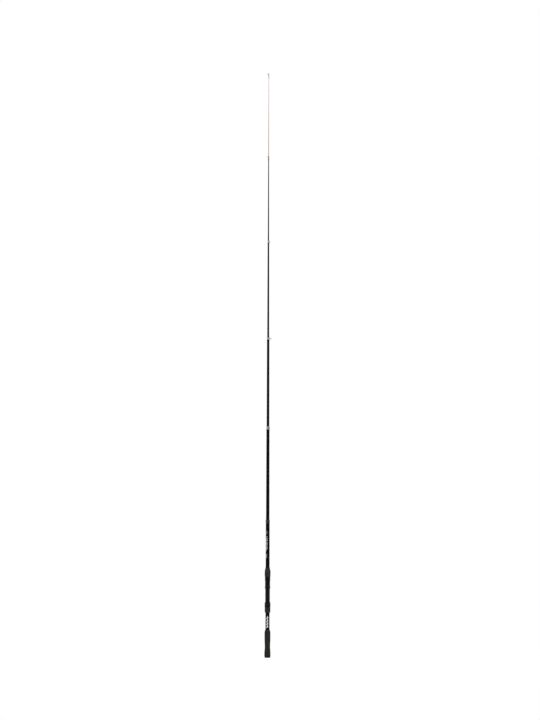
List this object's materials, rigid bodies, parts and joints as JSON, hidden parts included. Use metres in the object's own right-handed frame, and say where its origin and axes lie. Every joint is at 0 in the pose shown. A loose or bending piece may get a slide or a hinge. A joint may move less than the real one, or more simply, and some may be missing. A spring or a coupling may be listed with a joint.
{
  "type": "telescopic spinning rod",
  "caption": "Telescopic fishing rod drawn out: foam grips, screw reel seat, tapered tubes with ring guides on metal collars, orange tip.",
  "frame": {"origin": "centre of the flat underside of the butt cap", "axes": "+Z along the rod towards the tip; -Y is the side that the reel's foot and the first guide are on; +X is to the right of it, seen from that side"},
  "size_m": [0.0312, 0.0412, 2.7],
  "materials": {
    "foam": "matte",
    "light_foam": "matte",
    "black_lacquer": "gloss",
    "orange_lacquer": "gloss",
    "seat_plastic": "satin",
    "hood_metal": "satin",
    "dark_steel": "satin",
    "bright_steel": "polished",
    "ceramic": "gloss",
    "thread_wrap": "gloss",
    "rubber": "matte",
    "nylon": "satin"
  },
  "bodies": {
    "handle": {"section_1_butt_blank": "black_lacquer", "section_1_end_collar": "dark_steel", "rear_grip": "foam", "butt_bush": "nylon", "reel_seat_barrel": "seat_plastic", "fixed_hood": "hood_metal", "seat_end_grip": "foam", "foregrip": "light_foam"},
    "butt_cushion_body": {"butt_cushion": "rubber"},
    "butt_cap_body": {"butt_cap": "rubber"},
    "sliding_hood_body": {"sliding_hood": "hood_metal"},
    "lock_nut_body": {"lock_nut": "hood_metal"},
    "section_2": {"section_2_blank": "black_lacquer"},
    "guide_2": {"guide_2_frame": "bright_steel", "guide_2_ceramic_ring": "ceramic", "guide_2_thread_wrap": "thread_wrap"},
    "section_3": {"section_3_blank": "black_lacquer"},
    "guide_3": {"guide_3_frame": "bright_steel", "guide_3_ceramic_ring": "ceramic", "guide_3_thread_wrap": "thread_wrap"},
    "section_4": {"section_4_blank": "black_lacquer"},
    "guide_4": {"guide_4_frame": "bright_steel", "guide_4_ceramic_ring": "ceramic", "guide_4_thread_wrap": "thread_wrap"},
    "section_5": {"section_5_blank": "black_lacquer"},
    "guide_5": {"guide_5_frame": "bright_steel", "guide_5_ceramic_ring": "ceramic", "guide_5_thread_wrap": "thread_wrap"},
    "section_6": {"section_6_solid_tip": "orange_lacquer"},
    "tip_top": {"tip_top_frame": "bright_steel", "tip_top_ceramic_ring": "ceramic"}
  },
  "joints": [
    {"name": "hood_slide", "type": "slide", "parent": "handle", "child": "sliding_hood_body", "axis": [0, 0, -1], "range_m": [0, 0.024]},
    {"name": "lock_nut_turn", "type": "hinge", "parent": "sliding_hood_body", "child": "lock_nut_body", "pos_m": [0, 0, 0.356], "axis": [0, 0, -1], "range_deg": [0, 4320]},
    {"name": "butt_cap_lift", "type": "slide", "parent": "handle", "child": "butt_cushion_body", "axis": [0, 0, -1], "range_m": [0, 0.0105]},
    {"name": "butt_cap_turn", "type": "hinge", "parent": "butt_cushion_body", "child": "butt_cap_body", "pos_m": [0, 0, 0], "axis": [0, 0, -1], "range_deg": [0, 2520]},
    {"name": "section_2_slide", "type": "slide", "parent": "handle", "child": "section_2", "axis": [0, 0, 1], "range_m": [-0.4095, 0]},
    {"name": "section_2_twist", "type": "hinge", "parent": "section_2", "child": "guide_2", "pos_m": [0, 0, 1.0695], "axis": [0, 0, 1], "continuous": true},
    {"name": "section_3_slide", "type": "slide", "parent": "guide_2", "child": "section_3", "axis": [0, 0, 1], "range_m": [-0.393, 0]},
    {"name": "section_3_twist", "type": "hinge", "parent": "section_3", "child": "guide_3", "pos_m": [0, 0, 1.482], "axis": [0, 0, 1], "continuous": true},
    {"name": "section_4_slide", "type": "slide", "parent": "guide_3", "child": "section_4", "axis": [0, 0, 1], "range_m": [-0.4295, 0]},
    {"name": "section_4_twist", "type": "hinge", "parent": "section_4", "child": "guide_4", "pos_m": [0, 0, 1.93], "axis": [0, 0, 1], "continuous": true},
    {"name": "section_5_slide", "type": "slide", "parent": "guide_4", "child": "section_5", "axis": [0, 0, 1], "range_m": [-0.3705, 0]},
    {"name": "section_5_twist", "type": "hinge", "parent": "section_5", "child": "guide_5", "pos_m": [0, 0, 2.319], "axis": [0, 0, 1], "continuous": true},
    {"name": "section_6_slide", "type": "slide", "parent": "guide_5", "child": "section_6", "axis": [0, 0, 1], "range_m": [-0.3571, 0]},
    {"name": "section_6_twist", "type": "hinge", "parent": "section_6", "child": "tip_top", "pos_m": [0, 0, 2.6903], "axis": [0, 0, 1], "continuous": true}
  ],
  "couplings": [
    {"joint": "lock_nut_turn", "follows": "hood_slide", "rad_per_m": 3141.6},
    {"joint": "butt_cap_turn", "follows": "butt_cap_lift", "rad_per_m": 4188.8}
  ]
}
